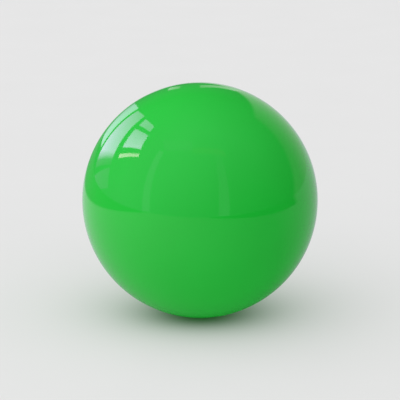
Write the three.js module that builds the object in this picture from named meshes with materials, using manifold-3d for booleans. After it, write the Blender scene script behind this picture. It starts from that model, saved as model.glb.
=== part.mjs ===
// A contact juggling ball: a hollow moulded PVC shell with a needle valve set into its wall.
//
// Millimetres, +Z up. The origin lies on the surface that the ball stands on, under its centre.
// The valve looks along +Y, and every piece is turned about that axis. Heights along the axis
// are measured from the centre of the ball.

import * as THREE from "three";
import { mergeVertices, toCreasedNormals } from "three/addons/utils/BufferGeometryUtils.js";
import Module from "manifold-3d";

const wasm = await Module();
wasm.setup();

// Shell
const BALL_DIAMETER = 100;
const WALL = 6;
const REST_FLAT_DEPTH = 0.2; // the soft wall gives this much where the ball stands
const BOSS_HEIGHT = 6; // thickening on the inside of the wall that holds the valve
const BOSS_WALL = 4.8;
const BOSS_FLARE = 3; // the boss is this much wider at its foot than at its end

// Plug
const PLUG_HEAD_DIAMETER = 8;
const PLUG_HEAD_THICKNESS = 1.8;
const PLUG_STEM_DIAMETER = 4.4;
const PLUG_STEM_LENGTH = 4.6;
const PLUG_TIP_CHAMFER = 0.6;
const PLUG_RIB_COUNT = 2;
const PLUG_RIB_HEIGHT = 0.25;
const PLUG_RIB_WIDTH = 0.8;

// Seat, a flanged bush that snaps into the shell
const SEAT_WALL = 1; // left around the groove for the core
const SEAT_FLANGE_RIM = 1.8; // left outside the pry slot
const SEAT_FLANGE_FLOOR = 0.8; // left under the pry slot
const SNAP_RIM_OVERHANG = 0.9;
const SNAP_RIM_LAND = 0.6;
const SNAP_RIM_LENGTH = 2.2;
const PRY_SLOT_WIDTH = 3;
const PRY_SLOT_REACH = 1.6; // outward from the rim of the plug's recess
const PRY_SLOT_UNDERCUT = 1; // inward under the edge of the plug's head
const PRY_SLOT_DROP = 0.5; // below the floor of the plug's recess

// Core, the rubber needle valve
const CORE_DIAMETER = 7;
const CORE_LENGTH = 6;
const CORE_RIB_HEIGHT = 0.5;
const CORE_RIB_WIDTH = 1.5;
const NEEDLE_FUNNEL_DIAMETER = 3.2;
const NEEDLE_FUNNEL_DEPTH = 1.6;
const NEEDLE_CHANNEL_DIAMETER = 1;
const NEEDLE_CHANNEL_FLOOR = 0.8; // rubber between the channel and the bill
const BILL_DIAMETER = 4.4;
const BILL_LENGTH = 3.6;
const BILL_LIP_THICKNESS = 1.2;
const SLIT_LENGTH = 3.2;
const SLIT_GAP = 0.15;

// Clearances
const FIT_GAP = 0.1; // between pieces that stay together
const SLIDE_GAP = 0.1; // around the plug
const STEM_END_GAP = 0.3; // between the plug's tip and the core's pocket

// Facets
const BALL_SEGMENTS = 60;
const VALVE_SEGMENTS = 40;
const CREASE_ANGLE = THREE.MathUtils.degToRad(20);

// Places along the valve's axis and radii about it, from the outside in
const ballRadius = BALL_DIAMETER / 2;
const innerRadius = ballRadius - WALL;
const bossEnd = innerRadius - BOSS_HEIGHT;

const headRadius = PLUG_HEAD_DIAMETER / 2;
const headUnderside = ballRadius - PLUG_HEAD_THICKNESS;
const stemRadius = PLUG_STEM_DIAMETER / 2;
const stemTip = headUnderside - PLUG_STEM_LENGTH;
const plugRibRadius = stemRadius + PLUG_RIB_HEIGHT;

const coreRadius = CORE_DIAMETER / 2;
const coreRibRadius = coreRadius + CORE_RIB_HEIGHT;
const pocketTop = stemTip - STEM_END_GAP;
const coreTop = pocketTop - FIT_GAP;
const coreMiddle = coreTop - CORE_LENGTH / 2;
const coreEnd = coreTop - CORE_LENGTH;

const recessRadius = headRadius + SLIDE_GAP;
const recessFloor = headUnderside - SLIDE_GAP;
const stemBoreRadius = plugRibRadius + SLIDE_GAP;
const pocketRadius = coreRadius + FIT_GAP;
const grooveRadius = coreRibRadius + FIT_GAP;
const barrelRadius = grooveRadius + SEAT_WALL;
const slotEndRadius = recessRadius + PRY_SLOT_REACH;
const slotFloor = recessFloor - PRY_SLOT_DROP;
const flangeRadius = slotEndRadius + SEAT_FLANGE_RIM;
const flangeUnderside = slotFloor - SEAT_FLANGE_FLOOR;
const snapRimRadius = barrelRadius + SNAP_RIM_OVERHANG;
const snapRimTop = bossEnd - FIT_GAP;
const seatEnd = snapRimTop - SNAP_RIM_LENGTH;

const counterboreRadius = flangeRadius + FIT_GAP;
const counterboreFloor = flangeUnderside - FIT_GAP;
const shellBoreRadius = barrelRadius + FIT_GAP;
const bossEndRadius = shellBoreRadius + BOSS_WALL;
const bossFootRadius = bossEndRadius + BOSS_FLARE;

// A point of a turned profile: its distance from the axis, and its height along it.
const at = (radius, height) => new THREE.Vector2(radius, height);

// The height at which a sphere about the ball's centre passes a distance from the axis.
const sphereHeight = (radius, fromAxis) => Math.sqrt(radius * radius - fromAxis * fromAxis);

// A meridian of a sphere, from its far pole on the axis up to a distance from the axis.
function meridian(radius, fromAxis, step) {
  const points = [at(0, -radius)];
  const last = Math.acos(fromAxis / radius);
  for (let angle = step - Math.PI / 2; angle < last - step / 2; angle += step) {
    points.push(at(radius * Math.cos(angle), radius * Math.sin(angle)));
  }
  points.push(at(fromAxis, sphereHeight(radius, fromAxis)));
  return points;
}

// A cap's meridian, from a distance from the axis in to another, in even steps.
function capMeridian(radius, fromAxis, toAxis, steps) {
  const points = [];
  for (let i = 0; i <= steps; i += 1) {
    const distance = THREE.MathUtils.lerp(fromAxis, toAxis, i / steps);
    points.push(at(distance, sphereHeight(radius, distance)));
  }
  return points;
}

function toSolid(geometry) {
  geometry.deleteAttribute("normal");
  geometry.deleteAttribute("uv");
  const merged = mergeVertices(geometry);
  const mesh = new wasm.Mesh({
    numProp: 3,
    vertProperties: new Float32Array(merged.attributes.position.array),
    triVerts: new Uint32Array(merged.index.array),
  });
  return new wasm.Manifold(mesh);
}

function toGeometry(solid) {
  const mesh = solid.getMesh();
  const geometry = new THREE.BufferGeometry();
  geometry.setAttribute("position", new THREE.BufferAttribute(mesh.vertProperties, 3));
  geometry.setIndex(new THREE.BufferAttribute(mesh.triVerts, 1));
  return toCreasedNormals(geometry, CREASE_ANGLE);
}

// The shell is one seamless wall with a boss on its inside, bored for the valve, and a small
// flat where its own weight presses it on the ground.
function shellGeometry() {
  const step = (2 * Math.PI) / BALL_SEGMENTS;
  const profile = [
    ...meridian(ballRadius, counterboreRadius, step),
    at(counterboreRadius, counterboreFloor),
    at(shellBoreRadius, counterboreFloor),
    at(shellBoreRadius, bossEnd),
    at(bossEndRadius, bossEnd),
    ...meridian(innerRadius, bossFootRadius, 2 * step).reverse(),
  ];
  const wall = toSolid(new THREE.LatheGeometry(profile, BALL_SEGMENTS));
  const ground = new THREE.BoxGeometry(BALL_DIAMETER, BALL_DIAMETER, BALL_DIAMETER);
  ground.translate(0, 0, REST_FLAT_DEPTH - BALL_DIAMETER);
  return toGeometry(wall.subtract(toSolid(ground)));
}

// The seat's flange lies flush in the shell, its barrel passes the boss, and its rim snaps out
// behind it. A slot beside the plug's head lets a fingernail under it.
function seatGeometry() {
  const domeSteps = 3;
  const grooveHalf = CORE_RIB_WIDTH / 2 + FIT_GAP;
  const start = at(pocketRadius, seatEnd);
  const profile = [
    start,
    at(barrelRadius, seatEnd),
    at(snapRimRadius, snapRimTop - SNAP_RIM_LAND),
    at(snapRimRadius, snapRimTop),
    at(barrelRadius, snapRimTop),
    at(barrelRadius, flangeUnderside),
    at(flangeRadius, flangeUnderside),
    ...capMeridian(ballRadius, flangeRadius, recessRadius, domeSteps),
    at(recessRadius, recessFloor),
    at(stemBoreRadius, recessFloor),
    at(stemBoreRadius, pocketTop),
    at(pocketRadius, pocketTop),
    at(pocketRadius, coreMiddle + grooveHalf),
    at(grooveRadius, coreMiddle + grooveHalf),
    at(grooveRadius, coreMiddle - grooveHalf),
    at(pocketRadius, coreMiddle - grooveHalf),
    start,
  ];
  const bush = toSolid(new THREE.LatheGeometry(profile, VALVE_SEGMENTS));

  const slotRadius = PRY_SLOT_WIDTH / 2;
  const slotInner = headRadius - PRY_SLOT_UNDERCUT;
  const outline = new THREE.Shape();
  outline.moveTo(-slotRadius, slotInner);
  outline.lineTo(slotRadius, slotInner);
  outline.absarc(0, slotEndRadius - slotRadius, slotRadius, 0, Math.PI);
  outline.closePath();
  const slot = new THREE.ExtrudeGeometry(outline, { depth: ballRadius - slotFloor, bevelEnabled: false });
  slot.rotateX(-Math.PI / 2); // to run along the axis
  slot.rotateY(Math.PI); // to lie above the plug
  slot.translate(0, slotFloor, 0);
  return toGeometry(bush.subtract(toSolid(slot)));
}

// The core is held by a rib in the seat's groove. A needle is led in by a funnel and a channel
// and parts the two lips of a bill, which the air inside presses shut.
function coreGeometry() {
  const ribHalf = CORE_RIB_WIDTH / 2;
  const channelRadius = NEEDLE_CHANNEL_DIAMETER / 2;
  const channelEnd = coreEnd + NEEDLE_CHANNEL_FLOOR;
  const profile = [
    at(0, coreEnd),
    at(coreRadius, coreEnd),
    at(coreRadius, coreMiddle - ribHalf),
    at(coreRibRadius, coreMiddle - ribHalf),
    at(coreRibRadius, coreMiddle + ribHalf),
    at(coreRadius, coreMiddle + ribHalf),
    at(coreRadius, coreTop),
    at(NEEDLE_FUNNEL_DIAMETER / 2, coreTop),
    at(channelRadius, coreTop - NEEDLE_FUNNEL_DEPTH),
    at(channelRadius, channelEnd),
    at(0, channelEnd),
  ];
  const body = toSolid(new THREE.LatheGeometry(profile, VALVE_SEGMENTS));

  const billRadius = BILL_DIAMETER / 2;
  const billRoot = (coreEnd + channelEnd) / 2; // half-way into the floor of the channel
  const billTip = coreEnd - BILL_LENGTH;
  const round = new THREE.CylinderGeometry(billRadius, billRadius, billRoot - billTip, VALVE_SEGMENTS);
  round.translate(0, (billRoot + billTip) / 2, 0);
  const lipHalf = BILL_LIP_THICKNESS / 2;
  const taper = new THREE.Shape([
    at(-lipHalf, billTip),
    at(lipHalf, billTip),
    at(billRadius, coreEnd),
    at(billRadius, billRoot),
    at(-billRadius, billRoot),
    at(-billRadius, coreEnd),
  ]);
  const wedge = new THREE.ExtrudeGeometry(taper, { depth: BILL_DIAMETER, bevelEnabled: false });
  wedge.translate(0, 0, -billRadius);
  wedge.rotateY(Math.PI / 2); // to lie across, with the lips level
  const bill = toSolid(round).intersect(toSolid(wedge));

  const slitTop = channelEnd + channelRadius;
  const slitBottom = billTip - SLIT_GAP;
  const slit = new THREE.BoxGeometry(SLIT_LENGTH, slitTop - slitBottom, SLIT_GAP);
  slit.translate(0, (slitTop + slitBottom) / 2, 0);
  return toGeometry(body.add(bill).subtract(toSolid(slit)));
}

// The plug's head is flush with the ball, and the ribs on its stem grip the seat's bore.
function plugGeometry() {
  const domeSteps = 4;
  const ribSpacing = PLUG_STEM_LENGTH / (PLUG_RIB_COUNT + 1);
  const profile = [
    at(0, stemTip),
    at(stemRadius - PLUG_TIP_CHAMFER, stemTip),
    at(stemRadius, stemTip + PLUG_TIP_CHAMFER),
  ];
  for (let i = 1; i <= PLUG_RIB_COUNT; i += 1) {
    const middle = stemTip + i * ribSpacing;
    profile.push(at(stemRadius, middle - PLUG_RIB_WIDTH / 2));
    profile.push(at(plugRibRadius, middle));
    profile.push(at(stemRadius, middle + PLUG_RIB_WIDTH / 2));
  }
  profile.push(at(stemRadius, headUnderside));
  profile.push(at(headRadius, headUnderside));
  profile.push(...capMeridian(ballRadius, headRadius, 0, domeSteps));
  return new THREE.LatheGeometry(profile, VALVE_SEGMENTS);
}

function piece(name, geometry, color, roughness) {
  const material = new THREE.MeshStandardMaterial({ color, roughness, metalness: 0 });
  const mesh = new THREE.Mesh(geometry, material);
  mesh.name = name;
  return mesh;
}

const ball = new THREE.Group();
ball.position.z = ballRadius - REST_FLAT_DEPTH;
ball.add(piece("ball_shell", shellGeometry(), 0x1cc036, 0.12));
ball.add(piece("valve_seat", seatGeometry(), 0x1ab32f, 0.2));
ball.add(piece("valve_core", coreGeometry(), 0x2a2a2c, 0.6));
ball.add(piece("valve_plug", plugGeometry(), 0x1ab32f, 0.2));

const model = new THREE.Group();
model.add(ball);

export default model;
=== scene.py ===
"""Dresses a hollow contact juggling ball: its glossy shell, the valve behind, and a plain studio."""

import bmesh
import bpy
import numpy as np
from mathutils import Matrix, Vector


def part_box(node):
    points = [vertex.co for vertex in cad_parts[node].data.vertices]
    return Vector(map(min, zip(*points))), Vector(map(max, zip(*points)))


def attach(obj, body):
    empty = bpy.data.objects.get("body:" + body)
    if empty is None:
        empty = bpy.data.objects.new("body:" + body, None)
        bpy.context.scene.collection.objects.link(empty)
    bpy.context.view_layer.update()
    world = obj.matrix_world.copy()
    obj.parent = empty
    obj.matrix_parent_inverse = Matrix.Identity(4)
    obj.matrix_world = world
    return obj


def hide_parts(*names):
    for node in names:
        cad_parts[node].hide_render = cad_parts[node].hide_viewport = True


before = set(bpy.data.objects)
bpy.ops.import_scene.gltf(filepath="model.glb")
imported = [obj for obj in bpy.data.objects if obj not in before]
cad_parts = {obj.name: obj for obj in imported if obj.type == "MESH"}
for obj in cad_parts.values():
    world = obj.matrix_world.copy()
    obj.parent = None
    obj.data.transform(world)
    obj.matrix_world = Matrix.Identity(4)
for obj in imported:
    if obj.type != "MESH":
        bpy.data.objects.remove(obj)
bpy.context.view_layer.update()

# Shell
# The ball itself: one hollow skin of plasticised PVC, turned about two axes in a hot closed mould, so it
# has no seam. On its inside, behind, a boss is bored and counterbored for the valve.
MM = 0.001
WALL = 6 * MM
BOSS_HEIGHT = 6 * MM
BOSS_WALL = 4.8 * MM
BOSS_FLARE = 3 * MM
FIT_GAP = 0.1 * MM
FLANGE_DEPTH = 3.2 * MM
BARREL_RADIUS = 5.1 * MM
RIM_EASE = 0.3 * MM
BORE_EASE = 0.2 * MM
BOSS_EASE = 1.2 * MM
OUTER_LEAD = 3 * RIM_EASE
INNER_LEAD = 2 * BOSS_EASE
SHELL_SEGMENTS = 288
OUTER_RINGS = 150
INNER_RINGS = 40
SHADING_LEAD = 1.4
MERGE_WITHIN = 1e-7
TINY = 1e-9

shell_low, shell_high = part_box("ball_shell")
seat_low, seat_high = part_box("valve_seat")
ball_radius = (shell_high[0] - shell_low[0]) / 2
centre_height = shell_high[2] - ball_radius
inner_radius = ball_radius - WALL
boss_end = inner_radius - BOSS_HEIGHT
flange_radius = (seat_high[0] - seat_low[0]) / 2
flange_underside = ball_radius - FLANGE_DEPTH


def sphere_height(radius, from_axis):
    """How far along the valve's axis a sphere about the centre is, at that distance from the axis."""
    return np.sqrt(radius**2 - np.square(from_axis))


def meridian(radius, from_axis, rings):
    """Points of a sphere's meridian at equal angles, from its far pole to that distance from the axis."""
    angle = np.linspace(-np.pi / 2, np.arccos(from_axis / radius), rings)
    return np.stack([radius * np.cos(angle), radius * np.sin(angle)], axis=1)


def eased(corners, setback, steps=4):
    """Rounds a profile's corners. Each becomes a parabola with the corner as its control point, which
    leaves one edge and meets the next at the setback from the corner, between two points a little further
    out that keep the flats' shading flat. The first and the last corner only give directions and are left
    out."""
    ones = [1] * (corners.ndim - 1)
    reach = np.reshape(setback, (-1, *ones))
    middle = corners[1:-1]
    come = middle - corners[:-2]
    leave = corners[2:] - middle
    start = -reach * come / np.maximum(np.linalg.norm(come, axis=1, keepdims=True), TINY)
    end = reach * leave / np.maximum(np.linalg.norm(leave, axis=1, keepdims=True), TINY)
    t = np.linspace(0, 1, steps + 1).reshape(1, -1, *ones)
    bend = (1 - t) ** 2 * start[:, None] + t**2 * end[:, None]
    leads = SHADING_LEAD * np.stack([start, end], axis=1)
    offsets = np.concatenate([leads[:, :1], bend, leads[:, 1:]], axis=1)
    return (middle[:, None] + offsets).reshape(-1, *corners.shape[1:])


def placed(name, data):
    """Puts a mesh or a camera into the scene, as an object at the origin."""
    made = bpy.data.objects.new(name, data)
    bpy.context.scene.collection.objects.link(made)
    return made


def turned(name, profile, segments, closed=False):
    """A solid turned about the valve's axis. Ring i has radius profile[i, 0] and height profile[i, 1],
    which may also vary round the axis, and its point at angle a lies at (radius sin a, height,
    radius cos a) from the ball's centre, and never under the ground that the soft wall is pressed flat on.
    A closed profile joins its last ring to its first, and a ring on the axis closes to a point."""
    rings = len(profile)
    grid = np.broadcast_to(profile.reshape(rings, 2, -1), (rings, 2, segments))
    radius, height = grid[:, 0], grid[:, 1]
    angle = np.arange(segments) * 2 * np.pi / segments
    upright = np.maximum(centre_height + radius * np.cos(angle), shell_low[2])
    points = np.stack([radius * np.sin(angle), height, upright], axis=-1).reshape(-1, 3)

    here = np.arange(rings if closed else rings - 1)[:, None] * segments
    above = (here + segments) % (rings * segments)
    step = np.arange(segments)
    beside = (step + 1) % segments
    quads = np.stack([here + step, here + beside, above + beside, above + step], axis=-1)

    mesh = bpy.data.meshes.new(name)
    mesh.from_pydata(points.tolist(), [], quads.reshape(-1, 4).tolist())
    work = bmesh.new()
    work.from_mesh(mesh)
    bmesh.ops.remove_doubles(work, verts=work.verts, dist=MERGE_WITHIN)
    work.to_mesh(mesh)
    work.free()
    mesh.shade_smooth()
    return placed(name, mesh)


counterbore_radius = flange_radius + FIT_GAP
counterbore_floor = flange_underside - FIT_GAP
bore_radius = BARREL_RADIUS + FIT_GAP
boss_end_radius = bore_radius + BOSS_WALL
boss_foot_radius = boss_end_radius + BOSS_FLARE
outside = meridian(ball_radius, counterbore_radius + OUTER_LEAD, OUTER_RINGS)
inside = meridian(inner_radius, boss_foot_radius + INNER_LEAD, INNER_RINGS)[::-1]
pocket = np.array([
    outside[-1],
    (counterbore_radius, sphere_height(ball_radius, counterbore_radius)),
    (counterbore_radius, counterbore_floor),
    (bore_radius, counterbore_floor),
    (bore_radius, boss_end),
    (boss_end_radius, boss_end),
    (boss_foot_radius, sphere_height(inner_radius, boss_foot_radius)),
    inside[0],
])
pocket = eased(pocket, [RIM_EASE, BORE_EASE, BORE_EASE, BORE_EASE, BOSS_EASE, BOSS_EASE])
shell = turned("moulded_shell", np.concatenate([outside, pocket, inside]), SHELL_SEGMENTS)


def linear(code):
    """An sRGB hex colour as linear red, green and blue, with an alpha of 1."""
    srgb = np.array([int(code[i : i + 2], 16) for i in (1, 3, 5)]) / 255
    rgb = np.where(srgb <= 0.04045, srgb / 12.92, ((srgb + 0.055) / 1.055) ** 2.4)
    return (*rgb.tolist(), 1.0)


def wire(tree, node, inputs):
    """Gives inputs of a shader node, by name or number, a value or a link."""
    for socket, value in dict(inputs).items():
        if isinstance(value, bpy.types.NodeSocket):
            tree.links.new(value, node.inputs[socket])
        else:
            node.inputs[socket].default_value = value


def add(tree, kind, inputs=(), **settings):
    """Adds a shader node, sets its properties and wires its inputs."""
    made = tree.nodes.new(kind)
    for key, value in settings.items():
        setattr(made, key, value)
    wire(tree, made, inputs)
    return made


def new_material(name):
    """A new material that starts as a Principled shader, and its node tree."""
    made = bpy.data.materials.new(name)
    made.use_nodes = True
    return made, made.node_tree


# Rotation-moulded PVC: the skin copies the polished mould, so it is glossy and its reflections are clear.
# The pigment lies a little unevenly, the skin waves very slightly, and handling leaves it faintly hazed.
PVC_IOR = 1.53
PIGMENT_PATCH = 24 * MM
PIGMENT_DEEP = "#1BBC34"
PIGMENT_PALE = "#1DC438"
HAZE_PATCH = 14 * MM
CLEAR_ROUGHNESS = 0.04
HAZED_ROUGHNESS = 0.08
SKIN_WAVE = 9 * MM
SKIN_WAVE_DEPTH = 0.006 * MM

moulded_pvc, tree = new_material("rotation_moulded_pvc")
place = add(tree, "ShaderNodeTexCoord").outputs["Object"]
pigment = add(tree, "ShaderNodeTexNoise", {"Vector": place, "Scale": 1 / PIGMENT_PATCH, "Detail": 2})
colour = add(
    tree,
    "ShaderNodeMix",
    {0: pigment.outputs["Fac"], 6: linear(PIGMENT_DEEP), 7: linear(PIGMENT_PALE)},
    data_type="RGBA",
)
haze = add(tree, "ShaderNodeTexNoise", {"Vector": place, "Scale": 1 / HAZE_PATCH, "Detail": 3})
gloss = add(
    tree,
    "ShaderNodeMapRange",
    {"Value": haze.outputs["Fac"], "To Min": CLEAR_ROUGHNESS, "To Max": HAZED_ROUGHNESS},
)
wave = add(tree, "ShaderNodeTexNoise", {"Vector": place, "Scale": 1 / SKIN_WAVE, "Detail": 1})
skin = add(tree, "ShaderNodeBump", {"Height": wave.outputs["Fac"], "Distance": SKIN_WAVE_DEPTH})
wire(tree, tree.nodes["Principled BSDF"], {
    "Base Color": colour.outputs[2],
    "Roughness": gloss.outputs["Result"],
    "IOR": PVC_IOR,
    "Normal": skin.outputs["Normal"],
})

shell.data.materials.append(moulded_pvc)
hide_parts("ball_shell")
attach(shell, "ball")

# Valve seat
# A flanged bush of harder PVC that snaps into the boss from outside and lies flush with the ball. Its
# recess takes the plug's head, and a slot above the head lets a fingernail under it.
SLIDE_GAP = 0.1 * MM
HEAD_THICKNESS = 1.8 * MM
STEM_BORE_RADIUS = 2.55 * MM
SLOT_HALF_WIDTH = 1.5 * MM
SLOT_REACH = 1.6 * MM
SLOT_UNDERCUT = 1 * MM
SLOT_DROP = 0.5 * MM
SNAP_OVERHANG = 0.9 * MM
SNAP_LAND = 0.6 * MM
POCKET_RADIUS = 3.6 * MM
GROOVE_RADIUS = 4.1 * MM
GROOVE_HALF_WIDTH = 0.85 * MM
CORE_BODY_LENGTH = 6 * MM
FLANGE_EASE = 0.25 * MM
HIDDEN_EASE = 0.1 * MM
SEAT_SEGMENTS = 240

plug_low, plug_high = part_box("valve_plug")
core_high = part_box("valve_core")[1]
head_radius = (plug_high[0] - plug_low[0]) / 2
head_underside = ball_radius - HEAD_THICKNESS
recess_radius = head_radius + SLIDE_GAP
recess_floor = head_underside - SLIDE_GAP
pocket_top = core_high[1] + FIT_GAP
core_middle = core_high[1] - CORE_BODY_LENGTH / 2
snap_top = boss_end - FIT_GAP
seat_end = seat_low[1]


def recess_edge(angle):
    """Distance from the axis to the edge of the recess, at an angle from straight up: the recess's own
    radius, or past it the pry slot's outline, which has two straight sides and a round end about the
    point end_centre."""
    across = np.abs(np.sin(angle))
    along = np.cos(angle)
    end_centre = recess_radius + SLOT_REACH - SLOT_HALF_WIDTH
    side = SLOT_HALF_WIDTH / np.maximum(across, TINY)
    end = end_centre * along + np.sqrt(np.maximum(SLOT_HALF_WIDTH**2 - (end_centre * across) ** 2, 0))
    slot = np.where(side * along <= end_centre, side, end)
    return np.maximum(recess_radius, np.where(along > 0, slot, 0))


round_axis = np.arange(SEAT_SEGMENTS) * 2 * np.pi / SEAT_SEGMENTS
edge = recess_edge(round_axis)
in_slot = edge > recess_radius
floor_level = np.where(in_slot, recess_floor - SLOT_DROP, recess_floor)
slot_inner = head_radius - SLOT_UNDERCUT
undercut = np.where(in_slot, slot_inner / np.cos(round_axis), slot_inner)
third = flange_radius + (edge - flange_radius) / 3
two_thirds = flange_radius + (edge - flange_radius) * 2 / 3
seat_corners = [
    (POCKET_RADIUS, seat_end, HIDDEN_EASE),
    (BARREL_RADIUS, seat_end, HIDDEN_EASE),
    (BARREL_RADIUS + SNAP_OVERHANG, snap_top - SNAP_LAND, HIDDEN_EASE),
    (BARREL_RADIUS + SNAP_OVERHANG, snap_top, HIDDEN_EASE),
    (BARREL_RADIUS, snap_top, HIDDEN_EASE),
    (BARREL_RADIUS, flange_underside, HIDDEN_EASE),
    (flange_radius, flange_underside, HIDDEN_EASE),
    (flange_radius, sphere_height(ball_radius, flange_radius), FLANGE_EASE),
    (third, sphere_height(ball_radius, third), 0),
    (two_thirds, sphere_height(ball_radius, two_thirds), 0),
    (edge, sphere_height(ball_radius, edge), FLANGE_EASE),
    (edge, floor_level, HIDDEN_EASE),
    (undercut, floor_level, HIDDEN_EASE),
    (undercut, recess_floor, HIDDEN_EASE),
    (STEM_BORE_RADIUS, recess_floor, FLANGE_EASE),
    (STEM_BORE_RADIUS, pocket_top, HIDDEN_EASE),
    (POCKET_RADIUS, pocket_top, HIDDEN_EASE),
    (POCKET_RADIUS, core_middle + GROOVE_HALF_WIDTH, HIDDEN_EASE),
    (GROOVE_RADIUS, core_middle + GROOVE_HALF_WIDTH, HIDDEN_EASE),
    (GROOVE_RADIUS, core_middle - GROOVE_HALF_WIDTH, HIDDEN_EASE),
    (POCKET_RADIUS, core_middle - GROOVE_HALF_WIDTH, HIDDEN_EASE),
]
seat_outline = np.array([
    [np.broadcast_to(value, SEAT_SEGMENTS) for value in (radius, height)]
    for radius, height, ease in seat_corners
])
seat_outline = np.concatenate([seat_outline[-1:], seat_outline, seat_outline[:1]])
seat_profile = eased(seat_outline, [ease for radius, height, ease in seat_corners])
seat = turned("valve_bush", seat_profile, SEAT_SEGMENTS, closed=True)

# Injection-moulded PVC: harder than the shell and from a spark-eroded mould, so it has a fine even grain
# and a satin gloss, and its colour is a shade deeper. The grain is drawn coarser than the real one to show.
SPARK_GRAIN = 0.35 * MM
SPARK_GRAIN_DEPTH = 0.01 * MM
SATIN_DEEP = "#18AE2C"
SATIN_PALE = "#1BB831"
SATIN_ROUGHNESS = (0.2, 0.34)

satin_pvc, tree = new_material("injection_moulded_pvc")
place = add(tree, "ShaderNodeTexCoord").outputs["Object"]
grain = add(tree, "ShaderNodeTexNoise", {"Vector": place, "Scale": 1 / SPARK_GRAIN, "Detail": 2})
colour = add(
    tree,
    "ShaderNodeMix",
    {0: grain.outputs["Fac"], 6: linear(SATIN_DEEP), 7: linear(SATIN_PALE)},
    data_type="RGBA",
)
gloss = add(
    tree,
    "ShaderNodeMapRange",
    {"Value": grain.outputs["Fac"], "To Min": SATIN_ROUGHNESS[0], "To Max": SATIN_ROUGHNESS[1]},
)
skin = add(tree, "ShaderNodeBump", {"Height": grain.outputs["Fac"], "Distance": SPARK_GRAIN_DEPTH})
wire(tree, tree.nodes["Principled BSDF"], {
    "Base Color": colour.outputs[2],
    "Roughness": gloss.outputs["Result"],
    "IOR": PVC_IOR,
    "Normal": skin.outputs["Normal"],
})

seat.data.materials.append(satin_pvc)
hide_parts("valve_seat")
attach(seat, "ball")

# Valve core
# The needle valve: one piece of soft black rubber with a funnel outside and a slit bill inside, held by its
# rib in the groove of the seat. Its solid has the right shape and is only seen down the seat's bore.
RUBBER_IOR = 1.52
RUBBER_ROUGHNESS = 0.65
RUBBER_GRAIN = 0.25 * MM
RUBBER_GRAIN_DEPTH = 0.02 * MM
RUBBER_DEEP = "#262628"
RUBBER_PALE = "#303032"

rubber, tree = new_material("moulded_soft_rubber")
place = add(tree, "ShaderNodeTexCoord").outputs["Object"]
grain = add(tree, "ShaderNodeTexNoise", {"Vector": place, "Scale": 1 / RUBBER_GRAIN, "Detail": 3})
colour = add(
    tree,
    "ShaderNodeMix",
    {0: grain.outputs["Fac"], 6: linear(RUBBER_DEEP), 7: linear(RUBBER_PALE)},
    data_type="RGBA",
)
skin = add(tree, "ShaderNodeBump", {"Height": grain.outputs["Fac"], "Distance": RUBBER_GRAIN_DEPTH})
wire(tree, tree.nodes["Principled BSDF"], {
    "Base Color": colour.outputs[2],
    "Roughness": RUBBER_ROUGHNESS,
    "IOR": RUBBER_IOR,
    "Normal": skin.outputs["Normal"],
})
for material_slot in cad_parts["valve_core"].material_slots:
    material_slot.material = rubber

# Valve plug
# A push-in plug of the same PVC as the seat. Its domed head is flush with the ball, with the dimple that
# the mould's gate leaves in the middle, and the ribs on its stem grip the seat's bore.
STEM_RADIUS = 2.2 * MM
TIP_CHAMFER = 0.6 * MM
RIB_HEIGHT = 0.25 * MM
RIB_HALF_WIDTH = 0.4 * MM
RIBS = 2
HEAD_EASE = 0.25 * MM
RIB_EASE = 0.12 * MM
DIMPLE_RADIUS = 0.8 * MM
DIMPLE_DEPTH = 0.15 * MM
DOME_LEAD = 3 * HEAD_EASE
DOME_RINGS = 24
PLUG_SEGMENTS = 120

stem_tip = plug_low[1]
rib_spacing = (head_underside - stem_tip) / (RIBS + 1)
dome_radius = np.linspace(head_radius - DOME_LEAD, 0, DOME_RINGS)
dimple = DIMPLE_DEPTH * np.exp(-((dome_radius / DIMPLE_RADIUS) ** 2))
dome = np.stack([dome_radius, sphere_height(ball_radius, dome_radius) - dimple], axis=1)
plug_corners = [
    (STEM_RADIUS - TIP_CHAMFER, stem_tip, RIB_EASE),
    (STEM_RADIUS, stem_tip + TIP_CHAMFER, RIB_EASE),
]
for i in range(RIBS):
    rib = stem_tip + (i + 1) * rib_spacing
    plug_corners += [
        (STEM_RADIUS, rib - RIB_HALF_WIDTH, RIB_EASE),
        (STEM_RADIUS + RIB_HEIGHT, rib, RIB_EASE),
        (STEM_RADIUS, rib + RIB_HALF_WIDTH, RIB_EASE),
    ]
plug_corners += [
    (STEM_RADIUS, head_underside, RIB_EASE),
    (head_radius, head_underside, RIB_EASE),
    (head_radius, sphere_height(ball_radius, head_radius), HEAD_EASE),
]
tip = np.array([[0, stem_tip]])
plug_outline = np.concatenate([tip, [(radius, height) for radius, height, ease in plug_corners], dome[:1]])
plug_side = eased(plug_outline, [ease for radius, height, ease in plug_corners])
plug = turned("pull_plug", np.concatenate([tip, plug_side, dome]), PLUG_SEGMENTS)

plug.data.materials.append(satin_pvc)
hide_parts("valve_plug")
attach(plug, "plug")

# Floor
# A wide sheet of pale matt board that the ball stands on, with the faint mottle of its paper. It is lit,
# and has a glow of its own besides, which also lights the ball from below. Under the ball the camera sees
# that glow fade out as a painted shadow, which keeps the ball's shadow short, and near the ball the paper
# is painted green as bounce light from the ball.
FLOOR_HALF = 6.0
PAPER_MOTTLE = 60 * MM
PAPER_DEEP = "#E9E9E9"
PAPER_PALE = "#ECECEC"
# Painted green bounce light from the ball, on the paper close to it.
PAINTED_BOUNCE_GREEN = "#DFF1E2"
BOARD_ROUGHNESS = 0.9
BOARD_SPECULAR = 0.1

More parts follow.
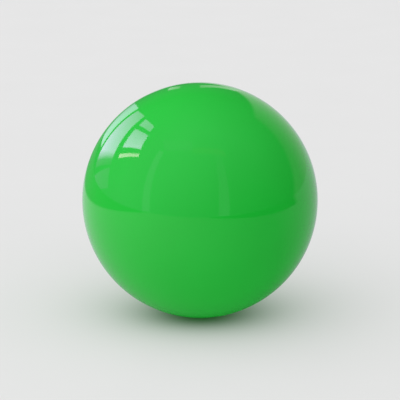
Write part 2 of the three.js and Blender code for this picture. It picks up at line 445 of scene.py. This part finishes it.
# The camera sees the glow fade out under the ball as a painted shadow, by the share
# 1 / (1 + r ** PAINTED_SHADOW_FADE). There r is 1 on an egg round PAINTED_SHADOW_MIDDLE that reaches
# PAINTED_SHADOW_REACH to each side and about as far behind, but less in front.
PAINTED_SHADOW_MIDDLE = (0, -0.156 * ball_radius, 0)
PAINTED_SHADOW_REACH = 0.563 * ball_radius
PAINTED_SHADOW_OVAL = (1, 1.37, 0)
PAINTED_SHADOW_LEAN = (0.02, 0.29, 0)
PAINTED_SHADOW_FADE = 2.64
GLOW_LEVEL = 0.941
GLOW_SHARE = 0.7

# In the ball's gloss the floor shows a painted reflection, not its own colour: green close to the ball,
# for painted shade and bounce light, and further off it is palest on the left and behind. There it ends a
# short way behind on the left, where it turns a dull green, and further off in front on the right, where it
# turns dark.
NEAR_PAINTED_SHADE_AND_BOUNCE = "#1B7D29"
NEAR_START = 0.3 * ball_radius
NEAR_REACH = ball_radius
FAR_DIM = "#7D8489"
FAR_PALE = "#EEF2F6"
FAR_SLOPE = (-0.48, 0.08, 0)
FAR_MIDDLE = 0.5
FAR_BEHIND_START = -0.4
FAR_BEHIND_SHARE = 0.75
LEFT_END = 6 * ball_radius
LEFT_END_BLUR = 0.4 * ball_radius
LEFT_END_TOWARDS = (-0.67, 0.74, 0)
LEFT_END_COLOUR = "#81B18B"
LEFT_END_CORNER = 0.1
LEFT_END_EASE = 0.03
RIGHT_END = 11 * ball_radius
RIGHT_END_BLUR = ball_radius
RIGHT_END_DARKER = 0.9
RIGHT_END_CORNER = 0.2
RIGHT_END_EASE = 0.05

floor_corners = FLOOR_HALF * np.array([(-1, -1, 0), (1, -1, 0), (1, 1, 0), (-1, 1, 0)])
mesh = bpy.data.meshes.new("floor")
mesh.from_pydata(floor_corners.tolist(), [], [(0, 1, 2, 3)])
floor = placed("floor", mesh)

board, tree = new_material("matt_board")
place = add(tree, "ShaderNodeTexCoord").outputs["Object"]
ray = add(tree, "ShaderNodeLightPath")
seen = ray.outputs["Is Camera Ray"]
glossy = ray.outputs["Is Glossy Ray"]

# The painted shadow: the share of the glow that fades out under the ball, 1 under it and 0 far off.
from_middle = add(tree, "ShaderNodeVectorMath", {0: place, 1: PAINTED_SHADOW_MIDDLE}, operation="SUBTRACT")
oval = add(
    tree,
    "ShaderNodeVectorMath",
    {0: from_middle.outputs["Vector"], 1: (np.array(PAINTED_SHADOW_OVAL) / PAINTED_SHADOW_REACH).tolist()},
    operation="MULTIPLY",
).outputs["Vector"]
off_middle = add(tree, "ShaderNodeVectorMath", {0: oval}, operation="LENGTH").outputs["Value"]
lean = add(tree, "ShaderNodeVectorMath", {0: oval, 1: PAINTED_SHADOW_LEAN}, operation="DOT_PRODUCT").outputs["Value"]
egg = add(tree, "ShaderNodeMath", {0: off_middle, 1: lean}, operation="SUBTRACT").outputs["Value"]
rise = add(tree, "ShaderNodeMath", {0: egg, 1: PAINTED_SHADOW_FADE}, operation="POWER").outputs["Value"]
divisor = add(tree, "ShaderNodeMath", {0: rise, 1: 1}, operation="ADD").outputs["Value"]
shade = add(tree, "ShaderNodeMath", {0: 1, 1: divisor}, operation="DIVIDE").outputs["Value"]

mottle = add(tree, "ShaderNodeTexNoise", {"Vector": place, "Scale": 1 / PAPER_MOTTLE, "Detail": 4})
paper = add(
    tree,
    "ShaderNodeMix",
    {0: mottle.outputs["Fac"], 6: linear(PAPER_DEEP), 7: linear(PAPER_PALE)},
    data_type="RGBA",
)
# Near the ball the paper is painted green as bounce light from the ball, by the same share as the painted
# shadow.
paper_with_painted_bounce = add(
    tree,
    "ShaderNodeMix",
    {0: shade, 6: paper.outputs[2], 7: linear(PAINTED_BOUNCE_GREEN)},
    data_type="RGBA",
)

outwards = add(tree, "ShaderNodeVectorMath", {0: place}, operation="NORMALIZE").outputs["Vector"]
aside, behind = add(tree, "ShaderNodeSeparateXYZ", {0: outwards}).outputs[:2]
slope = add(tree, "ShaderNodeVectorMath", {0: outwards, 1: FAR_SLOPE}, operation="DOT_PRODUCT")
by_side = add(tree, "ShaderNodeMath", {0: slope.outputs["Value"], 1: FAR_MIDDLE}, operation="ADD")
by_depth = add(
    tree,
    "ShaderNodeMapRange",
    {"Value": behind, "From Min": FAR_BEHIND_START, "From Max": 1, "To Max": FAR_BEHIND_SHARE},
)
paleness = add(
    tree,
    "ShaderNodeMath",
    {0: by_side.outputs["Value"], 1: by_depth.outputs["Result"]},
    operation="MAXIMUM",
)
far = add(
    tree,
    "ShaderNodeMix",
    {0: paleness.outputs["Value"], 6: linear(FAR_DIM), 7: linear(FAR_PALE)},
    data_type="RGBA",
)

beyond = add(tree, "ShaderNodeVectorMath", {0: place, 1: LEFT_END_TOWARDS}, operation="DOT_PRODUCT")
past_left = add(
    tree,
    "ShaderNodeMapRange",
    {
        "Value": beyond.outputs["Value"],
        "From Min": LEFT_END - LEFT_END_BLUR,
        "From Max": LEFT_END + LEFT_END_BLUR,
    },
)
on_left = add(
    tree,
    "ShaderNodeMapRange",
    {"Value": aside, "From Min": -LEFT_END_CORNER, "From Max": -LEFT_END_CORNER - LEFT_END_EASE},
)
left_end = add(
    tree,
    "ShaderNodeMath",
    {0: past_left.outputs["Result"], 1: on_left.outputs["Result"]},
    operation="MULTIPLY",
)
left_ended = add(
    tree,
    "ShaderNodeMix",
    {0: left_end.outputs["Value"], 6: far.outputs[2], 7: linear(LEFT_END_COLOUR)},
    data_type="RGBA",
)
past_right = add(
    tree,
    "ShaderNodeMapRange",
    {
        "Value": add(tree, "ShaderNodeSeparateXYZ", {0: place}).outputs["X"],
        "From Min": RIGHT_END - RIGHT_END_BLUR,
        "From Max": RIGHT_END + RIGHT_END_BLUR,
        "To Max": RIGHT_END_DARKER,
    },
)
in_front = add(
    tree,
    "ShaderNodeMapRange",
    {
        "Value": behind,
        "From Min": RIGHT_END_CORNER + RIGHT_END_EASE,
        "From Max": RIGHT_END_CORNER - RIGHT_END_EASE,
    },
)
right_dark = add(
    tree,
    "ShaderNodeMath",
    {0: past_right.outputs["Result"], 1: in_front.outputs["Result"]},
    operation="MULTIPLY",
)
kept = add(tree, "ShaderNodeMath", {0: 1, 1: right_dark.outputs["Value"]}, operation="SUBTRACT")
ended = add(
    tree,
    "ShaderNodeVectorMath",
    {0: left_ended.outputs[2], "Scale": kept.outputs["Value"]},
    operation="SCALE",
)

apart = add(tree, "ShaderNodeVectorMath", {0: place}, operation="LENGTH").outputs["Value"]
power = add(
    tree,
    "ShaderNodeMapRange",
    {"Value": apart, "From Min": NEAR_START, "From Max": NEAR_START + NEAR_REACH, "To Max": -1},
    clamp=False,
)
near = add(tree, "ShaderNodeMath", {0: power.outputs["Result"]}, operation="EXPONENT", use_clamp=True)
# The floor's painted reflection, which only the ball's gloss shows: green close to the ball for painted
# shade and bounce light.
painted_reflection = add(
    tree,
    "ShaderNodeMix",
    {0: near.outputs["Value"], 6: ended.outputs["Vector"], 7: linear(NEAR_PAINTED_SHADE_AND_BOUNCE)},
    data_type="RGBA",
)
colour = add(
    tree,
    "ShaderNodeMix",
    {0: glossy, 6: paper_with_painted_bounce.outputs[2], 7: painted_reflection.outputs[2]},
    data_type="RGBA",
).outputs[2]

surface = tree.nodes["Principled BSDF"]
wire(tree, surface, {
    "Base Color": colour,
    "Roughness": BOARD_ROUGHNESS,
    "Specular IOR Level": BOARD_SPECULAR,
})
# Only the camera sees the painted shadow; the ball's gloss and its diffuse light get the whole glow.
seen_shade = add(tree, "ShaderNodeMath", {0: shade, 1: seen}, operation="MULTIPLY").outputs["Value"]
level = add(tree, "ShaderNodeMapRange", {"Value": seen_shade, "To Min": GLOW_LEVEL, "To Max": 0})
glow = add(tree, "ShaderNodeEmission", {"Color": colour, "Strength": level.outputs["Result"]})
glow_share = add(tree, "ShaderNodeMapRange", {"Value": glossy, "To Min": GLOW_SHARE, "To Max": 1})
lit_and_glowing = add(
    tree,
    "ShaderNodeMixShader",
    {0: glow_share.outputs["Result"], 1: surface.outputs["BSDF"], 2: glow.outputs["Emission"]},
)
wire(tree, tree.nodes["Material Output"], {"Surface": lit_and_glowing.outputs["Shader"]})
board.cycles.emission_sampling = "NONE"
floor.data.materials.append(board)

# Light
# Everything is lit by a soft sky, brightest from the upper left and the front. What the gloss shows is
# apart from that: dim surroundings, paler on the left and above and green behind, and a pale sweep of
# paper behind on the right.
WHITE = "#FFFFFF"
BACKDROP = "#E7E7E7"
SKY_SLOPE = (-0.74, -0.27, 1.1)
SKY_LEVEL = 0.26
SKY_LEAST = 0.2
DIM_DEEP = "#3E4247"
DIM_PALE = "#BEC8D8"
DIM_SLOPE = (-0.45, 0, 0.45)
DIM_MIDDLE = 0.5
DIM_BEHIND = (-0.1, 0.75)
DIM_BEHIND_TINT = "#95DA95"
SWEEP_UNDER = (-0.19, 0.83, -0.53)
UNDER_BLUR = (-0.04, 0.06)
SWEEP_BESIDE = (0.78, 0.02, -0.63)
BESIDE_BLUR = (-0.02, 0.02)
SWEEP_BEHIND = (0.5, 1)
SWEEP_LEVELS = (0.3, 0.68)

world = bpy.data.worlds.new("studio")
bpy.context.scene.world = world
world.use_nodes = True
tree = world.node_tree
ray = add(tree, "ShaderNodeLightPath")
direction = add(tree, "ShaderNodeTexCoord").outputs["Generated"]
behind = add(tree, "ShaderNodeSeparateXYZ", {0: direction}).outputs["Y"]

slope = add(tree, "ShaderNodeVectorMath", {0: direction, 1: SKY_SLOPE}, operation="DOT_PRODUCT")
sloping = add(tree, "ShaderNodeMath", {0: slope.outputs["Value"], 1: SKY_LEVEL}, operation="ADD")
level = add(tree, "ShaderNodeMath", {0: sloping.outputs["Value"], 1: SKY_LEAST}, operation="MAXIMUM")
sky = add(tree, "ShaderNodeBackground", {"Color": linear(WHITE), "Strength": level.outputs["Value"]})

slope = add(tree, "ShaderNodeVectorMath", {0: direction, 1: DIM_SLOPE}, operation="DOT_PRODUCT")
paleness = add(tree, "ShaderNodeMath", {0: slope.outputs["Value"], 1: DIM_MIDDLE}, operation="ADD")
dim = add(
    tree,
    "ShaderNodeMix",
    {0: paleness.outputs["Value"], 6: linear(DIM_DEEP), 7: linear(DIM_PALE)},
    data_type="RGBA",
)
tint_share = add(
    tree,
    "ShaderNodeMapRange",
    {"Value": behind, "From Min": DIM_BEHIND[0], "From Max": DIM_BEHIND[1]},
)
tinted_dim = add(
    tree,
    "ShaderNodeMix",
    {0: tint_share.outputs["Result"], 6: dim.outputs[2], 7: linear(DIM_BEHIND_TINT)},
    data_type="RGBA",
    blend_type="MULTIPLY",
)
around = add(tree, "ShaderNodeBackground", {"Color": tinted_dim.outputs[2]})

from_under = add(tree, "ShaderNodeVectorMath", {0: direction, 1: SWEEP_UNDER}, operation="DOT_PRODUCT")
under = add(
    tree,
    "ShaderNodeMapRange",
    {"Value": from_under.outputs["Value"], "From Min": UNDER_BLUR[0], "From Max": UNDER_BLUR[1]},
)
from_beside = add(tree, "ShaderNodeVectorMath", {0: direction, 1: SWEEP_BESIDE}, operation="DOT_PRODUCT")
beside = add(
    tree,
    "ShaderNodeMapRange",
    {"Value": from_beside.outputs["Value"], "From Min": BESIDE_BLUR[0], "From Max": BESIDE_BLUR[1]},
)
on_sweep = add(
    tree,
    "ShaderNodeMath",
    {0: under.outputs["Result"], 1: beside.outputs["Result"]},
    operation="MULTIPLY",
)
sweep_level = add(
    tree,
    "ShaderNodeMapRange",
    {
        "Value": behind,
        "From Min": SWEEP_BEHIND[0],
        "From Max": SWEEP_BEHIND[1],
        "To Min": SWEEP_LEVELS[0],
        "To Max": SWEEP_LEVELS[1],
    },
).outputs["Result"]
sweep = add(tree, "ShaderNodeBackground", {"Color": linear(WHITE), "Strength": sweep_level})

mirrored = add(
    tree,
    "ShaderNodeMixShader",
    {0: on_sweep.outputs["Value"], 1: around.outputs["Background"], 2: sweep.outputs["Background"]},
)
unseen = add(
    tree,
    "ShaderNodeMixShader",
    {0: ray.outputs["Is Glossy Ray"], 1: sky.outputs["Background"], 2: mirrored.outputs["Shader"]},
)
backdrop = add(tree, "ShaderNodeBackground", {"Color": linear(BACKDROP)})
every = add(
    tree,
    "ShaderNodeMixShader",
    {0: ray.outputs["Is Camera Ray"], 1: unseen.outputs["Shader"], 2: backdrop.outputs["Background"]},
)
wire(tree, tree.nodes["World Output"], {"Surface": every.outputs["Shader"]})

# Panels
# Flat glowing panels far from the ball that only its gloss shows. A panel here is its four corners, from
# the left of its foot round to the left of its head, the brightness at each, where 1 looks white, and its
# tint. Most tints are violet, so that the pale green of the reflections does not burn out.
PANELS_AWAY = 10
COOL = "#E5AFFF"
PALE = "#E2DCFF"
WARM = "#FFCEE9"

# A bank on the left, a little behind and above the ball, makes the main reflections.
BANK = [
    (((0.13, 0.6), (0.52, 0.6), (0.5, 0.73), (0.125, 0.73)), (3.5, 3.5, 3.5, 3.5), COOL),
    (((0.13, 0.25), (0.59, 0.265), (0.55, 0.53), (0.125, 0.53)), (7.5, 9, 5, 4), COOL),
    (((0.135, 0.115), (0.62, 0.13), (0.62, 0.18), (0.135, 0.165)), (7, 7, 7, 7), WARM),
    (((-0.54, 0.33), (0, 0.2), (0, 0.76), (-0.4, 0.79)), (4.4, 6, 2.3, 1.8), COOL),
    (((-1.5, 0.8), (-0.63, 0.37), (-0.51, 0.83), (-1.5, 0.98)), (0.6, 2.5, 2.1, 0.5), PALE),
    (((-0.53, 0.23), (0, 0.12), (0, 0.2), (-0.54, 0.33)), (0.7, 0.9, 6, 4.4), COOL),
    (((-0.5, 0.16), (0, 0.06), (0, 0.12), (-0.53, 0.23)), (0.5, 0.6, 0.9, 0.7), COOL),
    (((-0.6, -0.02), (0, -0.2), (0, 0.03), (-0.62, 0.1)), (0.65, 0.9, 0.9, 0.65), COOL),
]

# Two upright bars and two across above them stand in front, and make the faint pale lines on that side.
LEFT_BAR = [
    (((-0.07, 0), (0.07, 0), (0.07, 1.35), (-0.07, 1.35)), (1.05, 1.05, 1.15, 1.15), PALE),
]
RIGHT_BAR = [
    (((-0.09, 0), (0.09, 0), (0.1, 1.6), (-0.08, 1.6)), (0.65, 0.65, 0.6, 0.6), PALE),
]
CROSSBARS = [
    (((-1.6, 2.6), (-0.26, 2.05), (-0.4, 3.6), (-4.5, 7.8)), (0.85, 0.85, 0.8, 0.8), PALE),
    (((-0.26, 1.8), (0.9, 1.8), (0.9, 2.4), (-0.26, 2.3)), (0.62, 0.56, 0.56, 0.62), WHITE),
]

# Two small panels straight behind make the glints under the top of the ball.
GLINTS = [
    (((0.08, 0.2), (0.11, 0.13), (0.165, 0.3), (0.115, 0.37)), (0.5, 0.9, 0.9, 0.5), WHITE),
    (((-0.15, 0.1), (0, 0.27), (0, 0.45), (-0.17, 0.27)), (0.9, 0.5, 0.5, 0.9), WHITE),
]

centre = np.array([0, 0, centre_height])


def hung(panels, bearing, tilt=0, turn=0):
    """The corner points and lights of panels on one plane far from the ball. In degrees, bearing is to the
    right of the front, tilt is upwards, and turn is anticlockwise in the plane as the ball sees it. A point
    is the centre + PANELS_AWAY (out + x across + y up), from a corner's x and y."""
    b, e, t = np.radians([bearing, tilt, turn])
    out = np.array([np.cos(e) * np.sin(b), -np.cos(e) * np.cos(b), np.sin(e)])
    sideways = np.array([np.cos(b), np.sin(b), 0])
    across = sideways * np.cos(t) + np.cross(out, sideways) * np.sin(t)
    up = np.cross(out, across)
    corners = np.concatenate([panel[0] for panel in panels])
    points = centre + PANELS_AWAY * (out + corners @ np.array([across, up]))
    lights = np.concatenate([np.outer(levels, linear(tint)) for _, levels, tint in panels])
    return points, lights


groups = [
    hung(BANK, bearing=-109, tilt=13, turn=40),
    hung(LEFT_BAR, bearing=-52, turn=8.5),
    hung(RIGHT_BAR, bearing=22.5, turn=-4),
    hung(CROSSBARS, bearing=0),
    hung(GLINTS, bearing=180),
]
panel_points = np.concatenate([points for points, lights in groups])
panel_lights = np.concatenate([lights for points, lights in groups])
mesh = bpy.data.meshes.new("gloss_panels")
quads = np.arange(len(panel_points)).reshape(-1, 4)
mesh.from_pydata(panel_points.tolist(), [], quads.tolist())
shine = mesh.color_attributes.new("shine", "FLOAT_COLOR", "POINT")
shine.data.foreach_set("color", panel_lights.ravel())
panels = placed("gloss_panels", mesh)
panels.visible_camera = False
panels.visible_diffuse = False
panels.visible_shadow = False

glowing, tree = new_material("glowing_panel")
colour = add(tree, "ShaderNodeAttribute", attribute_name="shine").outputs["Color"]
light = add(tree, "ShaderNodeEmission", {"Color": colour})
wire(tree, tree.nodes["Material Output"], {"Surface": light.outputs["Emission"]})
glowing.cycles.emission_sampling = "NONE"
panels.data.materials.append(glowing)

# Camera
# A long lens a little above the ball, upright and square to its front, at the photograph's viewing angle
# and with the ball as large as it is there.
CAMERA_ELEVATION = np.radians(16)
CAMERA_DISTANCE = 12 * ball_radius
PHOTO_SIDE = 400
BALL_RADIUS_IN_PHOTO = 117.8

camera_data = bpy.data.cameras.new("camera")
half_view = np.arcsin(ball_radius / CAMERA_DISTANCE)
camera_data.sensor_fit = "HORIZONTAL"
camera_data.lens = BALL_RADIUS_IN_PHOTO / np.tan(half_view) / PHOTO_SIDE * camera_data.sensor_width
camera = placed("camera", camera_data)
away = Vector((0, -np.cos(CAMERA_ELEVATION), np.sin(CAMERA_ELEVATION)))
camera.location = Vector(centre) + away * CAMERA_DISTANCE
camera.rotation_euler = away.to_track_quat("Z", "Y").to_euler()
bpy.context.scene.camera = camera
bpy.context.scene.view_settings.view_transform = "Standard"
